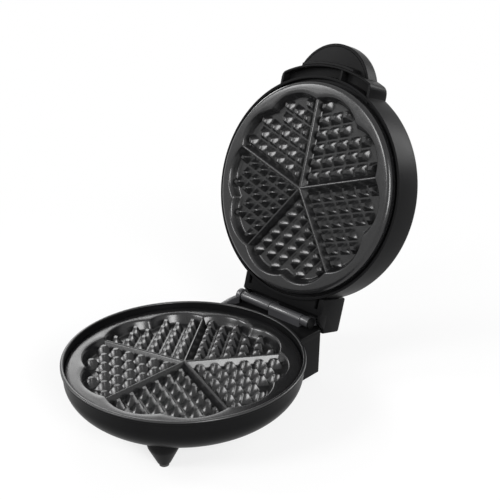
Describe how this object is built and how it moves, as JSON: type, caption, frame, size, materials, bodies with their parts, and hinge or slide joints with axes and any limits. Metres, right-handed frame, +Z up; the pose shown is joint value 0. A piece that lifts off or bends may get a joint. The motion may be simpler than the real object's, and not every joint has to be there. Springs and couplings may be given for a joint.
{
  "type": "electric heart waffle maker",
  "caption": "Round electric waffle maker standing open: dark bowl-shaped base and hinged lid, each with a non-stick heart-pattern plate, rear hinge tower and half-round handle.",
  "frame": {"origin": "on the ground, under the middle of the open waffle maker's bounding box", "axes": "+Z up, +Y towards the hinge tower and the open lid, +X to the right as seen from the front"},
  "size_m": [0.211, 0.3172, 0.2992],
  "materials": {
    "black_plastic": "satin black moulded housing plastic",
    "satin_disc": "plain brushed cover disc, unmarked",
    "nonstick_aluminium": "cast aluminium under dark grey non-stick coating",
    "pad_rubber": "soft black rubber",
    "gland_rubber": "black rubber gland",
    "element_steel": "heat-dulled sheathed element",
    "strap_steel": "plain steel strap",
    "reflector_sheet": "bright aluminium sheet",
    "fuse_brass": "plain brass",
    "pale_plastic": "pale heat-proof plastic",
    "lead_sheath": "glass-braided lead sheath",
    "screw_steel": "zinc-plated steel",
    "lens_plastic": "clear red lamp lens"
  },
  "bodies": {
    "base": {"base_housing": "black_plastic", "tower_cover": "black_plastic", "tower_cover_screws": "screw_steel", "front_pads": "pad_rubber", "rear_pads": "pad_rubber", "lower_plate": "nonstick_aluminium", "lower_plate_screws": "screw_steel", "lower_heater": "element_steel", "lower_heater_clamps": "strap_steel", "lower_clamp_rivets": "strap_steel", "lower_reflector": "reflector_sheet", "thermostat": "strap_steel", "thermostat_screws": "screw_steel", "thermal_fuse": "fuse_brass", "earth_screw": "fuse_brass", "terminal_block": "pale_plastic", "base_wiring": "lead_sheath", "cord_gland": "gland_rubber", "cord_clamp": "black_plastic", "cord_clamp_screws": "screw_steel", "left_hinge_pin": "screw_steel", "right_hinge_pin": "screw_steel", "lead_sleeve": "screw_steel", "hinge_lead": "lead_sheath"},
    "lid": {"lid_housing": "black_plastic", "lid_disc": "satin_disc", "upper_plate": "nonstick_aluminium", "upper_plate_screws": "screw_steel", "upper_heater": "element_steel", "upper_heater_clamps": "strap_steel", "upper_clamp_rivets": "strap_steel", "upper_reflector": "reflector_sheet", "handle_shell": "black_plastic", "handle_cover": "black_plastic", "handle_screws": "screw_steel", "hinge_cap": "black_plastic", "lamp_lenses": "lens_plastic", "lamp_bodies": "pale_plastic", "lid_connector": "pale_plastic", "lid_wiring": "lead_sheath"}
  },
  "joints": [
    {"name": "lid_hinge", "type": "hinge", "parent": "base", "child": "lid", "pos_m": [0, 0.06429, 0.056], "axis": [1, 0, 0], "range_deg": [0, 104.48]}
  ]
}
